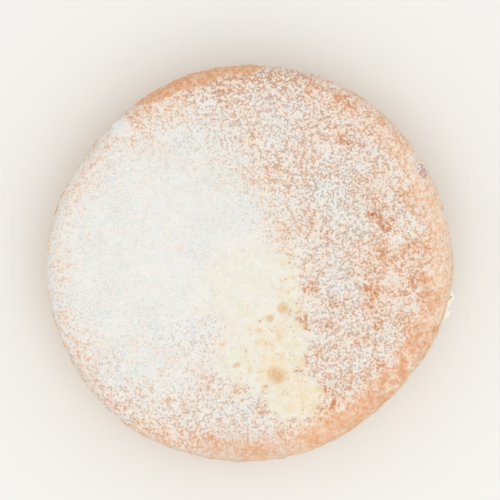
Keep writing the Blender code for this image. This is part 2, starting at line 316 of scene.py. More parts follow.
class Skin:
    """A closed skin of grids, rings and lids, with its bake map."""

    def __init__(self, strips, sides_share=1.0):
        self.places = []
        self.facing = []
        self.count = 0
        self.strips = strips
        self.sides_share = sides_share
        self.grids = []
        self.bands = []
        self.lids = []
        self.depth = 0.0

    def add(self, places, facing):
        """Adds points, and returns their numbers."""
        self.places.append(places)
        self.facing.append(facing)
        first = self.count
        self.count += len(places)
        return np.arange(first, self.count)

    def ring(self, angle, radius, height, out, up):
        """Adds one ring of points round the axis."""
        cos, sin = np.cos(angle), np.sin(angle)
        one = np.ones_like(angle)
        places = np.stack([radius * cos, radius * sin, height * one], axis=1)
        facing = np.stack([out * cos, out * sin, up * one], axis=1)
        return self.add(places, facing)

    def follow(self, last, width, angle, radius, height, out, up):
        """Adds a ring, joins it to the last one by a band, and returns it."""
        row = self.ring(angle, radius, height, out, up)
        self.band(last, row, width)
        return row

    def grid(self, places):
        """Adds a square grid of points that face up, and returns their numbers."""
        rows, columns = places.shape[:2]
        facing = np.tile([0.0, 0.0, 1.0], (rows * columns, 1))
        numbers = self.add(places.reshape(-1, 3), facing).reshape(rows, columns)
        self.grids.append(numbers)
        return numbers

    def band(self, upper, lower, width):
        """Joins two rings, the upper one first. Width is the band's share of the bake map."""
        self.bands.append((upper, lower, self.depth, self.depth + width))
        self.depth += width

    def lid(self, ring, facing_up):
        """Closes a ring with one flat face."""
        self.lids.append(ring if facing_up else ring[::-1])

    def arrays(self):
        """All points and the way each faces."""
        return np.concatenate(self.places), np.concatenate(self.facing)

    def grid_faces(self, numbers):
        """Faces of a grid, and their places in the bake map above the sides' strips."""
        rows, columns = numbers.shape
        across = np.linspace(MAP_MARGIN, 1.0 - MAP_MARGIN, columns)
        along = np.linspace(self.sides_share + MAP_MARGIN, 1.0 - MAP_MARGIN, rows)
        flat = np.stack(np.meshgrid(across, along), axis=-1)
        return corners(numbers).reshape(-1, 4), corners(flat).reshape(-1, 4, 2)

    def band_faces(self, upper, lower, begin, end):
        """Faces of a band, and their places in the bake map's strips."""
        faces = np.stack([upper, lower, np.roll(lower, -1), np.roll(upper, -1)], axis=1)
        column = np.arange(len(upper))
        strip = column * self.strips // len(upper)
        first = np.searchsorted(strip, np.arange(self.strips + 1))
        start, stop = first[strip], first[strip + 1]
        width = (1.0 - 2.0 * MAP_MARGIN) / (stop - start)
        left = MAP_MARGIN + width * (column - start)
        right = left + width
        room = self.sides_share * LID_ROOM / self.strips
        high = self.sides_share * LID_ROOM - strip * room - MAP_MARGIN
        scale = (room - 2.0 * MAP_MARGIN) / self.depth
        above, below = high - scale * begin, high - scale * end
        flat = np.stack([left, above, left, below, right, below, right, above], axis=1)
        return faces, flat.reshape(-1, 4, 2)

    def lid_places(self, order):
        """Places of a lid in the bake map: a small disc above the strips."""
        size = 0.5 * self.sides_share * (1.0 - LID_ROOM) - MAP_MARGIN
        turn = circle(len(self.lids[order]))
        middle = (0.1 + 0.2 * order, self.sides_share * (1.0 - 0.5 * (1.0 - LID_ROOM)))
        return np.stack([middle[0] + size * np.cos(turn), middle[1] + size * np.sin(turn)], axis=1)

    def piece(self, name, places):
        """Makes the object from the moved points."""
        blocks = [self.grid_faces(numbers) for numbers in self.grids]
        blocks += [self.band_faces(*band) for band in self.bands]
        faces = [face for block, _ in blocks for face in block.tolist()]
        faces += [lid.tolist() for lid in self.lids]
        flat = [block.reshape(-1) for _, block in blocks]
        flat += [self.lid_places(order).reshape(-1) for order in range(len(self.lids))]
        mesh = bpy.data.meshes.new(name)
        mesh.from_pydata((settle(places) + AXIS).tolist(), [], faces)
        mesh.uv_layers.new(name="OFBake").data.foreach_set("uv", np.concatenate(flat).astype(np.float32))
        mesh.update()
        mesh.shade_smooth()
        return placed(name, mesh)


def placed(name, data):
    """Makes an object of a mesh, a lamp or a lens."""
    made = bpy.data.objects.new(name, data)
    bpy.context.scene.collection.objects.link(made)
    return made


def mark(piece, name, values):
    """Stores one number for each point of a piece."""
    layer = piece.data.attributes.new(name, "FLOAT", "POINT")
    layer.data.foreach_set("value", np.asarray(values, dtype=np.float32))


def box_middle(node):
    """Middle of a solid's box, in plan."""
    low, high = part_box(node)
    return np.array([0.5 * (low[0] + high[0]), 0.5 * (low[1] + high[1]), 0.0])


def outline_middle():
    """Middle of the outline's own box, measured from the axis."""
    angle = circle(720)
    x = (outline(angle) + WALL_BELLY) * np.cos(angle)
    y = (outline(angle) + WALL_BELLY) * np.sin(angle)
    return np.array([0.5 * (x.min() + x.max()), 0.5 * (y.min() + y.max()), 0.0])


AXIS = box_middle("sponge_upper") - outline_middle()


def flat_ring(skin, angle, height, up):
    """Adds the ring inside which a seam is flat."""
    return skin.ring(angle, FLAT_SHARE * outline(angle), height, 0.0, up)


def flat_top(skin, angle, height):
    """Begins a skin with a flat top in a seam, and returns its ring."""
    row = flat_ring(skin, angle, height, 1.0)
    skin.lid(row, facing_up=True)
    return row


def flat_base(skin, last, angle, height):
    """Ends a skin with a flat underside in a seam."""
    row = flat_ring(skin, angle, height, -1.0)
    skin.band(last, row, HIDDEN_WIDTH)
    skin.lid(row, facing_up=False)


def quarter(rows):
    """Sine and cosine of a quarter turn in equal rows, without its first."""
    turns = np.linspace(0.0, 0.5 * math.pi, rows + 1)[1:]
    return list(zip(np.sin(turns), np.cos(turns)))


def wall(skin, last, rows, height, angle, radius, top, base, sway):
    """Adds a side that bellies out a little. Returns its last ring and that ring's swell."""
    for step in range(1, rows + 1):
        down = step / rows
        belly = WALL_BELLY * (math.sin(math.pi * down) + sway * down)
        level = top + (base - top) * down
        last = skin.follow(last, height / rows, angle, radius + belly, level, 1.0, 0.0)
    return last, belly


def upper_skin():
    """Points of the upper sponge: a grid over the top, then rings down the side."""
    skin = Skin(strips=3, sides_share=0.34)
    share, angle = squared_disc(CELLS)
    radius = share * (outline(angle) - SHOULDER)
    x, y = radius * np.cos(angle), radius * np.sin(angle)
    numbers = skin.grid(np.stack([x, y, crust_height(x, y)], axis=-1))
    rim = np.concatenate([numbers[0, :-1], numbers[:-1, -1], numbers[-1, :0:-1], numbers[:0:-1, 0]])
    edge = skin.places[0][rim]
    angle = np.arctan2(edge[:, 1], edge[:, 0])
    inner = outline(angle) - SHOULDER
    crest = edge[:, 2]
    last = rim
    width = 0.5 * math.pi * SHOULDER / SHOULDER_ROWS
    for out, up in quarter(SHOULDER_ROWS):
        height = crest - SHOULDER_DEPTH * (1.0 - up)
        last = skin.follow(last, width, angle, inner + SHOULDER * out, height, out, up)
    wall_top = crest - SHOULDER_DEPTH
    wall_base = UPPER_BASE + CUT_EDGE
    sides = (UPPER_WALL_ROWS, UPPER_HEIGHT / 2, angle, outline(angle), wall_top, wall_base)
    last, belly = wall(skin, last, *sides, wander(angle, WALL_PACE, 2))
    inner = outline(angle) + belly - CUT_EDGE
    for out, up in quarter(EDGE_ROWS):
        height = UPPER_BASE + CUT_EDGE * (1.0 - out)
        last = skin.follow(last, CUT_EDGE / EDGE_ROWS, angle, inner + CUT_EDGE * up, height, up, -out)
    flat_base(skin, last, angle, UPPER_BASE)
    return skin


def turned(x, y, centre_x, centre_y, turn):
    """Distances from a centre along a direction and across it."""
    x, y = x - centre_x, y - centre_y
    cos, sin = math.cos(turn), math.sin(turn)
    return x * cos + y * sin, y * cos - x * sin


def bubble_depth(x, y):
    """Depth of the open bubbles, and how far into one each place is."""
    depth = np.zeros_like(x)
    inside = np.zeros_like(x)
    for *sizes, turn in BUBBLES:
        centre_x, centre_y, length, width, deep = np.array(sizes) / 1000
        along, across = turned(x, y, centre_x, centre_y, math.radians(turn))
        reach = np.hypot(along / (0.5 * length), across / (0.5 * width))
        depth = np.maximum(depth, deep * np.clip(1.0 - reach ** 2, 0.0, 1.0))
        golden = 0.3 + 0.7 * deep / DEEPEST_BUBBLE
        inside = np.maximum(inside, golden * smooth(1.5, 0.0, reach))
    return depth, inside


def bare_spots(x, y):
    """How bare of sugar and how brown the crust is, from its list of spots."""
    bare = np.zeros_like(x)
    brown = np.zeros_like(x)
    ragged = 0.7 * lumps(x, y, 0, 0.003, 31) + 0.5 * lumps(x, y, 0, 0.0012, 34)
    for *place, amount in BARE_OVALS:
        inside = smooth(1.35, 0.55, oval(x, y, *place) + ragged)
        bare = np.maximum(bare, inside * (0.55 + 0.45 * amount))
        brown = np.maximum(brown, amount * inside)
    return bare, brown


def bare_shoulder(x, y):
    """The stretch of shoulder that the sugar has missed."""
    angle = np.arctan2(y, x)
    share = np.hypot(x, y) / outline(angle) + 0.02 * lumps(x, y, 0, 0.006, 35)
    low, high = BARE_SHOULDER
    middle = 1.0 - np.abs(np.clip((angle - low) / (high - low), 0.0, 1.0) * 2.0 - 1.0)
    depth = 0.015 + 0.065 * np.sqrt(middle)
    inside = smooth(low - 0.05, low + 0.02, angle) * smooth(high + 0.05, high - 0.02, angle)
    return inside * smooth(0.0, 0.012, share - (1.0 - depth))


def sugar_fields(x, y, bare):
    """How thick the film of sugar is, how many gaps it has, and how brown the rim is."""
    angle = np.arctan2(y, x)
    share = np.hypot(x, y) / outline(angle)
    film = FILM_MEAN + 0 * x
    gaps = GAPS_MEAN + 0 * x
    for *place, more_film, more_gaps in SUGAR_OVALS:
        inside = smooth(*SOFT_EDGE, oval(x, y, *place))
        film += more_film * inside
        gaps += more_gaps * inside
    right = smooth(-0.35, 0.75, np.cos(angle + math.radians(32)))
    rim = smooth(0.8, 0.97, share)
    film -= rim * (0.11 + 0.3 * right)
    gaps += rim * (0.02 - 0.36 * right)
    edge = smooth(0.95, 0.985, share) * smooth(0.55, 0.0, np.cos(angle + math.radians(65)))
    film += 0.14 * edge * (1.0 - bare)
    left_rim = smooth(0.72, 0.92, share) * (1.0 - right)
    film -= 0.1 * left_rim
    gaps += 0.11 * left_rim
    film -= 0.4 * bare
    gaps -= 0.05 * bare
    film += 0.18 * lumps(x, y, 0, 0.016, 32)
    return np.clip(film, 0.0, 1.0), np.clip(gaps, 0.0, 1.0), 0.03 * rim * right


def wall_relief(x, y, z, row):
    """Relief of a baked side, and where its skin has rubbed away to the crumb."""
    rubbed = smooth(0.14, 0.5, 0.8 * lumps(x, y, z, 0.011, row) + 1.1 * lumps(x, y, z, 0.0036, row + 1))
    relief = 0.0005 * lumps(x, y, z, 0.007, row + 2) + 0.00036 * lumps(x, y, z, 0.0028, row + 3)
    relief -= 0.0005 * dents(x, y, z, 0.0038, row + 4) + 0.0003 * dents(x, y, z, 0.0021, row + 5)
    relief -= rubbed * (0.00035 + 0.00045 * dents(x, y, z, 0.0026, row + 6))
    return relief, rubbed


def make_upper_sponge():
    """The upper sponge, with its marks for crumb, sugar, browning, bubbles and jam."""
    skin = upper_skin()
    places, facing = skin.arrays()
    x, y, z = places.T
    top = smooth(0.3, 0.9, facing[:, 2])
    under = facing[:, 2] < -0.5
    crumb = peeled(x, y) * top
    depth, inside = bubble_depth(x, y)
    wall = smooth(0.8, 0.1, facing[:, 2])
    dimples = 0.0003 * lumps(x, y, z, 0.006, 3) + 0.00022 * lumps(x, y, z, 0.0026, 4)
    pores = dents(x, y, z, 0.0034, 6)
    open_crumb = 0.00045 * dents(x, y, z, 0.0021, 7) + 0.00035 * dents(x, y, z, 0.0048, 8)
    fall = PEELED_DEPTH * crumb + crumb * open_crumb - 0.0004 * crumb * lumps(x, y, z, 0.0035, 9)
    fall += (1.0 - crumb) * 0.00016 * pores * (1.0 - wall)
    lip = 0.00022 * np.exp(-((crumb - 0.35) / 0.22) ** 2) * (crumb > 0.01)
    rough, rubbed = wall_relief(x, y, z, 40)
    relief = (dimples * (1.0 - 0.4 * crumb) - fall + lip) * (1.0 - wall) + rough * wall
    relief = np.where(under, 0.0, relief) - depth * top
    moved = places + facing * relief[:, None]
    piece = skin.piece("upper_sponge", moved)
    bare, brown = bare_spots(x, y)
    missed = bare_shoulder(x, y)
    film, gaps, browned = sugar_fields(x, y, np.maximum(bare, missed))
    film *= 1.0 - 0.7 * missed
    gaps *= 1.0 - 0.8 * missed
    dusted = smooth(UPPER_RIM - 0.017, UPPER_RIM - 0.009, z + 0.006 * lumps(x, y, z, 0.007, 36))
    mark(piece, "crumb", crumb)
    mark(piece, "crumbly", crumbly(x, y) * top)
    mark(piece, "film", film * dusted * (1.0 - 0.9 * inside))
    mark(piece, "gaps", gaps * dusted * (1.0 - inside))
    mark(piece, "wall", 1.0 - dusted)
    mark(piece, "rubbed", rubbed * wall)
    mark(piece, "bubble", inside)
    mark(piece, "brown", np.maximum(brown, 0.45 * missed) + browned)
    # Painted shade: marks the front of the crust, which is painted darker and greyer
    mark(piece, "painted_front_shade", smooth(*SOFT_EDGE, oval(x, y, *FRONT_SHADE_OVAL)))
    mark(piece, "foot", 0.8 * smooth(UPPER_BASE + 0.004, UPPER_BASE + 0.0005, z))
    along, across = turned(x, y, *SMEAR_AT, SMEAR_TURN)
    ragged = 0.38 * lumps(x, y, z, 0.0022, 11)
    smear = smooth(1.1, 0.6, np.hypot(along / SMEAR_SIZE[0], across / SMEAR_SIZE[1]) + ragged)
    mark(piece, "smear", smear * (facing[:, 2] > -0.5))
    return piece


def lower_edge(angle):
    """Distance from the axis to the lower sponge's side."""
    return outline(angle - LOWER_TURN) - LOWER_INSET


def make_lower_sponge():
    """The lower sponge: a rounded top edge, a porous wall and the round at its foot."""
    skin = Skin(strips=4)
    angle = circle(AROUND)
    edge = lower_edge(angle)
    last = flat_top(skin, angle, LOWER_HEIGHT)
    last = skin.follow(last, HIDDEN_WIDTH, angle, edge - LOWER_EDGE, LOWER_HEIGHT, 0.0, 1.0)
    width = 0.5 * math.pi * LOWER_EDGE / EDGE_ROWS
    for out, up in quarter(EDGE_ROWS + 1):
        height = LOWER_HEIGHT - LOWER_EDGE * (1.0 - up)
        last = skin.follow(last, width, angle, edge - LOWER_EDGE * (1.0 - out), height, out, up)
    wall_top = LOWER_HEIGHT - LOWER_EDGE
    sides = (LOWER_WALL_ROWS, wall_top - FOOT_EDGE, angle, edge, wall_top, FOOT_EDGE)
    last, belly = wall(skin, last, *sides, -wander(angle, WALL_PACE, 3))
    inner = edge + belly - FOOT_EDGE
    width = 0.5 * math.pi * FOOT_EDGE / EDGE_ROWS
    for out, up in quarter(EDGE_ROWS):
        height = FOOT_EDGE * (1.0 - out)
        last = skin.follow(last, width, angle, inner + FOOT_EDGE * up, height, up, -out)
    skin.lid(last, facing_up=False)
    places, facing = skin.arrays()
    x, y, z = places.T
    relief, rubbed = wall_relief(x, y, z, 50)
    relief *= smooth(0.0, 0.0015, z) * (np.hypot(x, y) > 0.9 * outline(np.arctan2(y, x)))
    piece = skin.piece("lower_sponge", places + facing * relief[:, None])
    brown = 0.1 + 0.8 * smooth(0.005, 0.0005, z)
    brown += 0.4 * smooth(LOWER_HEIGHT - 0.004, LOWER_HEIGHT, z)
    mark(piece, "foot", np.clip(brown, 0.0, 1.0))
    mark(piece, "rubbed", rubbed)
    return piece


def cream_bulge(angle):
    """How far the cream swells out where it shows past the crust."""
    away = np.abs(np.remainder(angle - CREAM_BULGE_AT + math.pi, math.tau) - math.pi)
    return CREAM_BULGE * smooth(CREAM_BULGE_SPAN, CREAM_BULGE_CORE * CREAM_BULGE_SPAN, away)


def cream_reach(angle):
    """How far the cream's edge stands past the sponge's outline."""
    return CREAM_REACH + CREAM_WANDER * wander(angle, CREAM_PACE, 4) + cream_bulge(angle)


def make_cream():
    """The whipped cream: a fat lobed edge squeezed out between the sponges."""
    skin = Skin(strips=6)
    angle = circle(AROUND)
    rows = 22
    fat = 0.0042
    inner = outline(angle) + cream_reach(angle) - fat
    last = flat_top(skin, angle, CREAM_TOP)
    for step in range(rows + 1):
        turn = math.pi * step / rows
        out, up = math.sin(turn), math.cos(turn)
        height = 0.5 * (CREAM_TOP + CREAM_BASE) + (0.5 * CREAM_HEIGHT + GAP) * up
        width = HIDDEN_WIDTH if step == 0 else CREAM_HEIGHT / rows
        last = skin.follow(last, width, angle, inner + fat * out ** 0.8, height, out, up)
    flat_base(skin, last, angle, CREAM_BASE)
    places, facing = skin.arrays()
    x, y, z = places.T
    angle = np.arctan2(y, x)
    lobes = 0.0034 * lumps(x, y, 1.6 * z, 0.013, 15) + 0.0016 * lumps(x, y, 1.8 * z, 0.0052, 16)
    swirl = lumps(x, y, 3.2 * z, 0.0085, 17)
    folds = 0.0017 * (0.3 - np.sqrt(np.abs(swirl)))
    lean = 0.0022 * wander(angle, 9.0, 24) * facing[:, 2]
    fine = 0.0002 * lumps(x, y, z, 0.0013, 18)
    outward = np.hypot(facing[:, 0], facing[:, 1])
    moved = places + facing * ((lobes + folds + lean + fine) * outward)[:, None]
    radius = np.hypot(moved[:, 0], moved[:, 1])
    limit = outline(angle) + CREAM_OVERHANG + cream_bulge(angle)
    over = np.maximum(radius - limit + CREAM_OVERHANG, 0.0)
    held = radius - over + CREAM_OVERHANG * np.tanh(over / CREAM_OVERHANG)
    moved[:, :2] *= (held / radius)[:, None]
    return skin.piece("whipped_cream", moved)


def lower_surface(angle, down):
    """A point on the lower sponge's skin, down from where its top begins to round, and its facing."""
    arc_length = 0.5 * math.pi * LOWER_EDGE
    turn = np.clip(down / arc_length, 0.0, 1.0) * 0.5 * math.pi
    flat = np.minimum(down, 0.0)
    drop = np.maximum(down - arc_length, 0.0)
    radius = lower_edge(angle) - LOWER_EDGE * (1.0 - np.sin(turn)) + flat
    height = LOWER_HEIGHT - LOWER_EDGE * (1.0 - np.cos(turn)) - drop
    wall = LOWER_HEIGHT - LOWER_EDGE - FOOT_EDGE
    radius = radius + WALL_BELLY * np.sin(math.pi * np.clip(drop / wall, 0.0, 1.0))
    return radius, height, np.sin(turn), np.cos(turn)


def make_jam():
    """The jam: a glossy skin that sags over the lower sponge's edge, with a few short runs."""
    skin = Skin(strips=6)
    angle = circle(2 * AROUND)
    reach = 0.0026 + 0.0034 * wander(angle, 8.0, 19) + 0.0016 * wander(angle, 20.0, 20)
    rng = random.Random(11)
    for run in range(JAM_RUNS):
        middle = rng.uniform(0.0, math.tau)
        long = rng.uniform(*JAM_RUN_LENGTH)
        width = rng.uniform(*JAM_RUN_WIDTH)
        away = np.abs(np.remainder(angle - middle + math.pi, math.tau) - math.pi) * RADIUS / width
        finger = np.sqrt(np.clip(1.0 - away ** 4, 0.0, 1.0))
        reach = reach + long * (0.75 * finger + 0.25 * smooth(2.2, 0.2, away))
    reach = np.maximum(reach, 0.0006)
    thick = 0.0012 + 0.0006 * wander(angle, 14.0, 22)
    start = -0.003
    sunk = 0.0002
    rows = 12
    under_rows = 4
    rest = JAM_HEIGHT + GAP
    last = flat_top(skin, angle, JAM_TOP)
    for step in range(rows + 1):
        share = step / rows
        radius, height, out, up = lower_surface(angle, start + (reach - start) * share)
        cover = rest + (thick - rest) * smooth(0.2, 0.8, share)
        cover = cover * np.sqrt(max(1.0 - share ** 4, 0.0))
        last = skin.follow(last, 0.0007, angle, radius + cover * out, height + cover * up, out, up)
    for step in range(1, under_rows + 1):
        radius, height, out, up = lower_surface(angle, reach + (start - reach) * step / under_rows)
        last = skin.follow(last, 0.0003, angle, radius - sunk * out, height - sunk * up, -out, -up)
    flat_base(skin, last, angle, LOWER_HEIGHT - sunk)
    places, facing = skin.arrays()
    x, y, z = places.T
    outward = np.hypot(facing[:, 0], facing[:, 1]) * (facing[:, 2] > -0.2)
    relief = 0.0003 * lumps(x, y, z, 0.0028, 23) * outward
    return skin.piece("red_jam", places + facing * relief[:, None])


def loose_pieces(name, places, sizes, rng, flatness):
    """Many rough eight-sided grains joined in one piece."""
    count = len(places)
    tips = np.array([(1, 0, 0), (0, 1, 0), (-1, 0, 0), (0, -1, 0), (0, 0, 1), (0, 0, -1)], float)
    upper = [(0, 1, 4), (1, 2, 4), (2, 3, 4), (3, 0, 4)]
    sides = np.array(upper + [(after, first, 5) for first, after, _ in upper])
    shapes = tips[None] * rng.uniform(0.65, 1.3, (count, 6, 1))
    shapes = shapes + rng.uniform(-0.22, 0.22, (count, 6, 3))
    turn = rng.uniform(0.0, math.tau, count)
    cos, sin = np.cos(turn)[:, None], np.sin(turn)[:, None]
    x = shapes[:, :, 0] * cos - shapes[:, :, 1] * sin
    y = shapes[:, :, 0] * sin + shapes[:, :, 1] * cos
    z = shapes[:, :, 2] * flatness + 0.5 * flatness
    grains = places[:, None, :] + np.stack([x, y, z], axis=-1) * sizes[:, None, None]
    faces = sides[None] + 6 * np.arange(count)[:, None, None]
    mesh = bpy.data.meshes.new(name)
    mesh.from_pydata(grains.reshape(-1, 3).tolist(), [], faces.reshape(-1, 3).tolist())
    mesh.update()
    return placed(name, mesh)


def points(piece):
    """Where a piece's points are now."""
    places = np.empty(3 * len(piece.data.vertices), np.float32)
    piece.data.vertices.foreach_get("co", places)
    return places.reshape(-1, 3).astype(float)


def top_places(sponge):
    """The points of the upper sponge's top grid."""
    return points(sponge)[:(CELLS + 1) ** 2].reshape(CELLS + 1, CELLS + 1, 3)


def top_marks(sponge, name):
    """One stored number over the upper sponge's top grid."""
    values = np.empty(len(sponge.data.vertices), np.float32)
    sponge.data.attributes[name].data.foreach_get("value", values)
    return values[:(CELLS + 1) ** 2].reshape(CELLS + 1, CELLS + 1)


def scattered(grid, weight, count, rng):
    """Random points on a grid's cells, chosen by weight."""
    chance = weight[:-1, :-1].ravel()
    cells = rng.choice(chance.size, size=count, p=chance / chance.sum())
    row, column = np.divmod(cells, CELLS)
    s, t = rng.uniform(0.0, 1.0, (2, count, 1))
    near = grid[row, column] * (1.0 - s) + grid[row, column + 1] * s
    far = grid[row + 1, column] * (1.0 - s) + grid[row + 1, column + 1] * s
    return near * (1.0 - t) + far * t


def make_grains(sponge):
    """Clots of icing sugar lying on the crust."""
    rng = np.random.default_rng(3)
    weight = (0.04 + 0.96 * top_marks(sponge, "film")) * (1.0 - 0.55 * top_marks(sponge, "crumb"))
    weight = weight * (1.0 - top_marks(sponge, "bubble"))
    places = scattered(top_places(sponge), weight, GRAINS, rng)
    low, high = GRAIN_SIZE
    sizes = low + (high - low) * rng.uniform(0.0, 1.0, GRAINS) ** 2.2
    return loose_pieces("sugar_grains", places, sizes, rng, 0.55)


def make_crumbs(sponge, cream):
    """Loose crumbs, on the brown spots of the crust and on the cream."""
    rng = np.random.default_rng(8)
    brown = np.clip(top_marks(sponge, "brown") - 0.3, 0.0, 1.0) + 0.0004
    top = scattered(top_places(sponge), brown, TOP_CRUMBS, rng)
    rings = np.arange(AROUND * CRUMB_RINGS[0], AROUND * CRUMB_RINGS[1])
    side = points(cream)[rng.choice(rings, CREAM_CRUMBS)]
    low, high = CRUMB_SIZE
    sizes = low + (high - low) * rng.uniform(0.0, 1.0, TOP_CRUMBS + CREAM_CRUMBS) ** 2.0
    sizes[:TOP_CRUMBS] *= 0.6
    return loose_pieces("loose_crumbs", np.concatenate([top, side]), sizes, rng, 0.8)


def colour(red, green, blue):
    """A linear colour from the usual 0 to 255 values."""
    values = [value / 255.0 for value in (red, green, blue)]
    return tuple(v / 12.92 if v <= 0.04045 else ((v + 0.055) / 1.055) ** 2.4 for v in values) + (1.0,)


class Look:
    """A material and short calls that add nodes to it."""

    def __init__(self, name):
        self.material = bpy.data.materials.new(name)
        self.material.use_nodes = True
        self.tree = self.material.node_tree
        self.shader = self.tree.nodes["Principled BSDF"]
        self.place = self.tree.nodes.new("ShaderNodeTexCoord").outputs["Object"]

    def feed(self, socket, value):
        """Sets an input, or links it."""
        if isinstance(value, bpy.types.NodeSocket):
            self.tree.links.new(value, socket)
        else:
            socket.default_value = value

    def node(self, kind, **inputs):
        """Adds a node and feeds its inputs."""
        node = self.tree.nodes.new("ShaderNode" + kind)
        for name, value in inputs.items():
            self.feed(node.inputs[name.replace("_", " ")], value)
        return node

    def attribute(self, name):
        """A number stored at the mesh's points."""
        node = self.node("Attribute")
        node.attribute_name = name
        return node.outputs["Fac"]

    def grain(self, span, detail=2.0, offset=0.0):
        """Soft noise with bumps about a span wide, around 0.5."""
        place = self.node("Mapping", Vector=self.place, Location=[offset] * 3).outputs["Vector"]
        node = self.node("TexNoise", Vector=place, Scale=1.0 / span, Detail=detail, Roughness=0.55)
        return node.outputs["Fac"]

    def ripple(self, span, detail, offset):
        """The same noise around 0."""
        return self.do("SUBTRACT", self.grain(span, detail, offset), 0.5)

    def cells(self, span):
        """Distance to the nearest of points scattered about a span apart."""
        return self.node("TexVoronoi", Vector=self.place, Scale=1.0 / span).outputs["Distance"]

    def do(self, operation, first, second=0.0, third=0.0, clamp=False):
        """A number worked out from others."""
        node = self.node("Math")
        node.operation = operation
        node.use_clamp = clamp
        for socket, value in zip(node.inputs, (first, second, third)):
            self.feed(socket, value)
        return node.outputs["Value"]

    def times(self, first, second, plus=0.0, clamp=False):
        """A number times another, plus a third."""
        return self.do("MULTIPLY_ADD", first, second, plus, clamp)

    def step(self, value, low, high):
        """0 below low, 1 above high, smooth between."""
        node = self.node("MapRange", Value=value, From_Min=low, From_Max=high)
        node.interpolation_type = "SMOOTHSTEP"
        return node.outputs["Result"]

    def mix(self, share, first, second, most=1.0, blend="MIX"):
        """A colour between two, by most at a share of 1. MULTIPLY darkens."""
        node = self.node("Mix")
        node.data_type = "RGBA"
        node.blend_type = blend
        self.feed(node.inputs["Factor"], share if most == 1.0 else self.times(share, most))
        for socket, value in zip(node.inputs[6:8], (first, second)):
            self.feed(socket, colour(*value) if isinstance(value, tuple) else value)
        return node.outputs[2]

    def paint(self, value):
        """Sets the base colour."""
        self.feed(self.shader.inputs["Base Color"], value)

    def bump(self, height, distance):
        """Fine relief on the shader's normal."""
        node = self.node("Bump", Height=height, Distance=distance)
        self.feed(self.shader.inputs["Normal"], node.outputs["Normal"])

    def set(self, **values):
        """Sets plain values of the shader."""
        for name, value in values.items():
            self.shader.inputs[name.replace("_", " ")].default_value = value


def crust_colours(look, brown):
    """The baked skin: pale peach to golden orange in soft patches, browner where told."""
    soft = look.step(look.grain(0.01, 3.0), 0.35, 0.65)
    skin = look.mix(soft, (238, 207, 179), (235, 196, 161))
    fine = look.step(look.grain(0.0026, 3.0, 1.0), 0.42, 0.72)
    skin = look.mix(fine, skin, (222, 171, 135), most=0.35)
    return look.mix(brown, skin, (204, 130, 78))


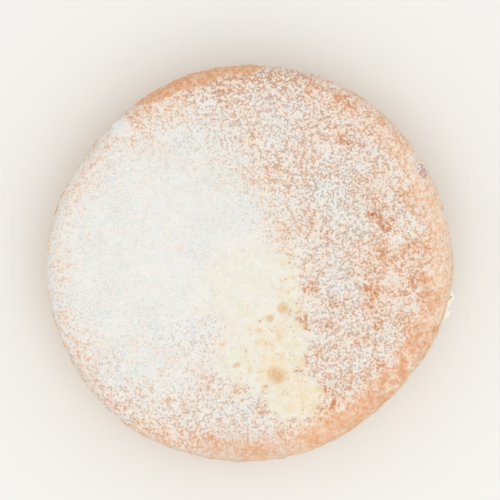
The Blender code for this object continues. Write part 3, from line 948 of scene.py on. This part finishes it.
class CrustLook(Look):
    """The top crust's material, with what its layers have in common."""

    def __init__(self):
        super().__init__("sugared_crust")
        self.speck = self.ripple(0.0013, 1.5, 5.0)
        self.clump = self.ripple(0.0031, 1.0, 7.0)
        self.wide_clump = self.ripple(0.0075, 1.0, 31.0)
        self.small_clump = self.ripple(0.0017, 2.0, 8.0)
        self.pits = self.cells(PORE_SPAN)
        self.film = self.attribute("film")
        self.gaps = self.attribute("gaps")
        flecks = self.step(self.grain(0.0017, 2.0, 14.0), 0.38, 0.62)
        self.brown = self.times(self.attribute("brown"), self.times(flecks, 0.9, 0.4), clamp=True)
        self.veil = self.veil_share()
        self.hole = self.hole_share()
        self.bright = self.bright_share()

    def veil_share(self):
        """How much of the skin the film of sugar covers."""
        loose = self.times(self.clump, self.times(self.film, -1.6, 2.7))
        veil = self.do("ADD", loose, self.times(self.small_clump, 0.5, self.film))
        veil = self.step(self.times(self.wide_clump, 0.8, veil), 0.0, 0.95)
        return self.times(veil, self.times(self.film, 0.56, 0.41))

    def hole_share(self):
        """Fine gaps in the sugar, and pits where it lies thin."""
        spread = self.times(self.do("SUBTRACT", self.gaps, 0.5), 0.24)
        spread = self.times(self.clump, -0.26, spread)
        fine = self.step(self.do("ADD", self.speck, spread), 0.02, 0.13)
        thin = self.times(self.small_clump, -0.5, self.times(self.clump, -1.0))
        dots = self.times(self.step(self.pits, 0.42, 0.2), self.step(thin, -0.08, 0.12))
        return self.times(self.do("MAXIMUM", fine, dots), self.times(self.gaps, 0.87, 0.02))

    def bright_share(self):
        """Single bright grains in the film."""
        bright = self.times(self.film, 0.06, self.ripple(0.00085, 1.5, 25.0))
        return self.times(self.step(bright, 0.1, 0.19), self.step(self.film, 0.05, 0.35))

    def patch_share(self):
        """Where the top skin is gone, with a ragged edge."""
        bared = self.times(self.attribute("crumb"), 0.3, self.attribute("crumbly"))
        ragged = self.times(self.small_clump, 1.3, self.times(self.clump, 1.2, bared))
        return self.step(ragged, 0.75, 1.15)

    def sugar_colours(self):
        """Icing sugar: cool white where thick, creamy where thin or mixed with crumb."""
        tone = self.times(self.grain(0.003, 3.0, 12.0), 0.7)
        tone = self.times(self.grain(0.014, 2.0, 13.0), 0.9, tone)
        powder = self.mix(self.step(tone, 0.4, 1.2), (219, 221, 217), (235, 238, 234))
        powder = self.mix(self.attribute("crumbly"), powder, (235, 231, 217), most=0.75)
        thin = self.times(self.clump, -1.8, self.times(self.film, -0.9, 0.95), clamp=True)
        return self.mix(thin, powder, (240, 229, 215))

    def gap_shade_and_crust_colours(self):
        """What darkens the gaps: grey painted shade between the clumps of thick sugar, and the crust's
        own red or brown where there is little sugar.
        """
        scarce = self.do("SUBTRACT", 1.1, self.film)
        red = self.step(self.grain(0.004, 2.0, 15.0), 0.38, 0.56)
        # Grey is painted shade between clumps of sugar; red is the crust showing through
        shade = self.mix(self.times(red, scarce, clamp=True), (192, 177, 174), (201, 162, 153))
        baked = self.times(self.step(self.gaps, 0.66, 0.3), scarce, clamp=True)
        return self.mix(baked, shade, (226, 168, 136))

    def sugared_skin(self):
        """The baked skin under its sugar, with gaps darkened by painted shade and by the crust showing,
        warm hollows and bright grains.
        """
        skin = self.mix(self.film, crust_colours(self, self.brown), (236, 212, 191), most=0.45)
        skin = self.mix(self.veil, skin, self.sugar_colours())
        # The gaps darken the skin: grey painted shade in thick sugar, and the crust's own red or brown
        # where the sugar is thin
        skin = self.mix(self.hole, skin, self.gap_shade_and_crust_colours(), blend="MULTIPLY")
        warm = self.step(self.times(self.wide_clump, 0.5, self.clump), 0.1, -0.14)
        warm = self.times(warm, self.times(self.film, -0.35, 0.35))
        skin = self.mix(warm, skin, (253, 228, 204), blend="MULTIPLY")
        dust = self.step(self.times(self.speck, -1.0, self.times(self.film, 0.05)), 0.03, 0.15)
        dust = self.times(dust, self.step(self.film, 0.0, 0.12))
        skin = self.mix(dust, skin, (246, 236, 227), most=0.45)
        return self.mix(self.bright, skin, (248, 245, 241), most=0.6)

    def bare_crumb(self):
        """Pale crumb with painted shade in its pores, golden mottling, and a little sugar on it."""
        tone = self.step(self.grain(0.006, 4.0, 9.0), 0.36, 0.66)
        crumb = self.mix(tone, (239, 234, 220), (236, 225, 199))
        # Painted shade: the pores of the crumb are painted darker
        crumb = self.mix(self.step(self.pits, 0.26, 0.05), crumb, (226, 212, 180), most=0.3)
        mottle = self.step(self.grain(0.0048, 3.0, 19.0), 0.5, 0.7)
        crumb = self.mix(mottle, crumb, (237, 213, 168), most=0.45)
        mottle = self.times(self.step(self.small_clump, 0.02, 0.14), self.step(self.clump, -0.12, 0.08))
        crumb = self.mix(mottle, crumb, (231, 206, 170), most=0.5)
        crumb = self.mix(self.brown, crumb, (240, 208, 158))
        crumb = self.mix(self.step(self.veil, 0.25, 0.85), crumb, (235, 234, 226), most=0.6)
        return self.mix(self.hole, crumb, (222, 196, 164), most=0.1)


def crust_look():
    """Top crust: sugared skin, bare crumb, golden bubbles, painted shade at the front, and the smear."""
    look = CrustLook()
    patch = look.patch_share()
    mixed = look.mix(patch, look.sugared_skin(), look.bare_crumb())
    bubble = look.times(look.attribute("bubble"), look.times(look.small_clump, 1.8, 1.0))
    mixed = look.mix(look.step(bubble, 0.04, 0.45), mixed, (237, 217, 183))
    mixed = look.mix(look.step(bubble, 0.38, 0.95), mixed, (221, 190, 149), most=0.85)
    # Painted shade: the front of the crust is painted darker and greyer
    mixed = look.mix(look.attribute("painted_front_shade"), mixed, (190, 158, 140), most=0.2)
    mixed = look.mix(look.attribute("wall"), mixed, wall_colours(look))
    smear = look.times(look.attribute("smear"), look.times(look.speck, 5.0, 1.0))
    smear = look.step(smear, 0.3, 1.15)
    look.paint(look.mix(smear, mixed, (178, 92, 98), most=0.56))
    look.feed(look.shader.inputs["Roughness"], look.times(smear, -0.5, 0.82))
    look.set(Specular_IOR_Level=0.25, **SPONGE_DEPTH)
    height = look.times(look.bright, 0.5, look.times(look.grain(0.0007, 2.0, 2.0), 0.7))
    sunk = look.times(look.hole, look.times(patch, 0.6, -0.6))
    look.bump(look.do("ADD", sunk, height), 0.00016)
    return look.material


def wall_colours(look):
    """Baked side: golden skin, browner at its edges, with painted shade in its pores and pale crumb
    where it has rubbed.
    """
    soft = look.step(look.grain(0.009, 3.0, 21.0), 0.36, 0.64)
    skin = look.mix(soft, (233, 190, 143), (219, 168, 115))
    fine = look.step(look.grain(0.0019, 3.0, 22.0), 0.42, 0.62)
    skin = look.mix(fine, skin, (204, 150, 98), most=0.5)
    pale = look.step(look.grain(0.0022, 4.0, 24.0), 0.46, 0.72)
    skin = look.mix(pale, skin, (240, 208, 164), most=0.5)
    # Painted shade: the middles of the pores are painted dark brown
    pores = look.step(look.cells(PORE_SPAN), 0.26, 0.06)
    skin = look.mix(pores, skin, (172, 110, 62), most=0.6)
    tone = look.step(look.grain(0.0012, 3.0, 9.0), 0.35, 0.7)
    crumb = look.mix(tone, (244, 226, 190), (234, 204, 156))
    # Painted shade in the pores of the rubbed crumb as well
    crumb = look.mix(pores, crumb, (214, 172, 116), most=0.6)
    ragged = look.times(look.ripple(0.0016, 2.0, 23.0), 1.6, look.attribute("rubbed"))
    skin = look.mix(look.step(ragged, 0.1, 1.25), skin, crumb, most=0.6)
    dark = look.times(look.attribute("foot"), look.step(look.grain(0.004, 3.0, 3.0), 0.25, 0.65))
    return look.mix(dark, skin, (178, 112, 60))


def side_look():
    """The lower sponge's side."""
    look = Look("baked_side")
    look.paint(wall_colours(look))
    look.set(Roughness=0.86, Specular_IOR_Level=0.2, **SPONGE_DEPTH)
    pores = look.step(look.cells(PORE_SPAN), 0.3, 0.04)
    look.bump(look.times(pores, -0.6, look.grain(0.0007, 4.0, 2.0)), 0.0005)
    return look.material


def cream_look():
    """Whipped cream: ivory white, soft and faintly glossy."""
    look = Look("whipped_cream")
    tone = look.step(look.grain(0.01, 3.0), 0.35, 0.65)
    look.paint(look.mix(tone, (250, 246, 234), (246, 239, 220)))
    look.set(Roughness=0.42, Specular_IOR_Level=0.35)
    look.set(Subsurface_Weight=0.35, Subsurface_Scale=0.004, Subsurface_Radius=(1.0, 0.85, 0.65))
    look.bump(look.grain(0.0012, 3.0, 4.0), 0.00016)
    return look.material


def jam_look():
    """Set red jam: deep, wet and slightly clear, with paler pips."""
    look = Look("red_jam")
    pips = look.step(look.cells(0.0032), 0.22, 0.12)
    tone = look.step(look.grain(0.004, 3.0), 0.35, 0.65)
    tone = look.mix(tone, (168, 30, 40), (122, 12, 26))
    look.paint(look.mix(pips, tone, (186, 120, 70), most=0.6))
    look.set(Roughness=0.12, Specular_IOR_Level=0.5)
    look.set(Subsurface_Weight=0.25, Subsurface_Scale=0.003, Subsurface_Radius=(1.0, 0.2, 0.15))
    look.bump(look.do("MAXIMUM", pips, look.grain(0.002, 2.0, 6.0)), 0.00025)
    return look.material


def grain_look(name, pale, deep, span):
    """Loose sugar or crumbs, some grains deeper in tone than others."""
    look = Look(name)
    look.paint(look.mix(look.step(look.grain(span, 2.0), 0.35, 0.65), pale, deep))
    look.set(Roughness=0.85, Specular_IOR_Level=0.2)
    look.bump(look.grain(0.0003, 2.0), 0.00005)
    return look.material


def dress(piece, material, node=None):
    """Gives a piece its material and its body, and hides the solid it stands for."""
    piece.data.materials.append(material)
    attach(piece, "root")
    if node:
        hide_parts(node)


def make_floor():
    """A plain pale floor."""
    bpy.ops.mesh.primitive_plane_add(size=FLOOR_SIZE, location=(0.0, 0.0, 0.0))
    floor = bpy.context.object
    floor.name = "floor"
    look = Look("floor")
    look.set(Base_Color=colour(240, 240, 236), Roughness=0.9, Specular_IOR_Level=0.1)
    floor.data.materials.append(look.material)


def make_light():
    """Even studio light from all round, with a broad lamp towards the lower right."""
    world = bpy.data.worlds.new("studio")
    world.use_nodes = True
    shade = world.node_tree.nodes["Background"]
    shade.inputs["Color"].default_value = (1.0, 1.0, 1.0, 1.0)
    shade.inputs["Strength"].default_value = STUDIO_STRENGTH
    bpy.context.scene.world = world
    lamp = bpy.data.lights.new("key", "AREA")
    lamp.size = 1.0
    lamp.energy = LAMP_POWER
    key = placed("key", lamp)
    key.location = LAMP_PLACE
    key.rotation_euler = (-key.location).to_track_quat("-Z", "Y").to_euler()


def make_camera():
    """The camera straight above the cake."""
    lens = bpy.data.cameras.new("camera")
    lens.lens = LENS * 1000.0
    lens.sensor_width = SENSOR * 1000.0
    lens.sensor_fit = "HORIZONTAL"
    camera = placed("camera", lens)
    distance = FRAME_WIDTH * LENS / SENSOR
    camera.location = (AXIS[0] + FRAME_OFFSET[0], AXIS[1] + FRAME_OFFSET[1], FRAME_PLANE + distance)
    bpy.context.scene.camera = camera


def main():
    make_camera()
    make_light()
    make_floor()
    upper = make_upper_sponge()
    cream = make_cream()
    dress(upper, crust_look(), "sponge_upper")
    dress(make_lower_sponge(), side_look(), "sponge_lower")
    dress(cream, cream_look(), "cream_layer")
    dress(make_jam(), jam_look(), "jam_layer")
    sugar = grain_look("icing_sugar", (246, 246, 244), (238, 237, 232), 0.0012)
    dress(make_grains(upper), sugar)
    crumb = grain_look("sponge_crumbs", (232, 198, 150), (210, 160, 110), 0.0016)
    dress(make_crumbs(upper, cream), crumb)
    bpy.context.scene.view_settings.view_transform = "Standard"


main()
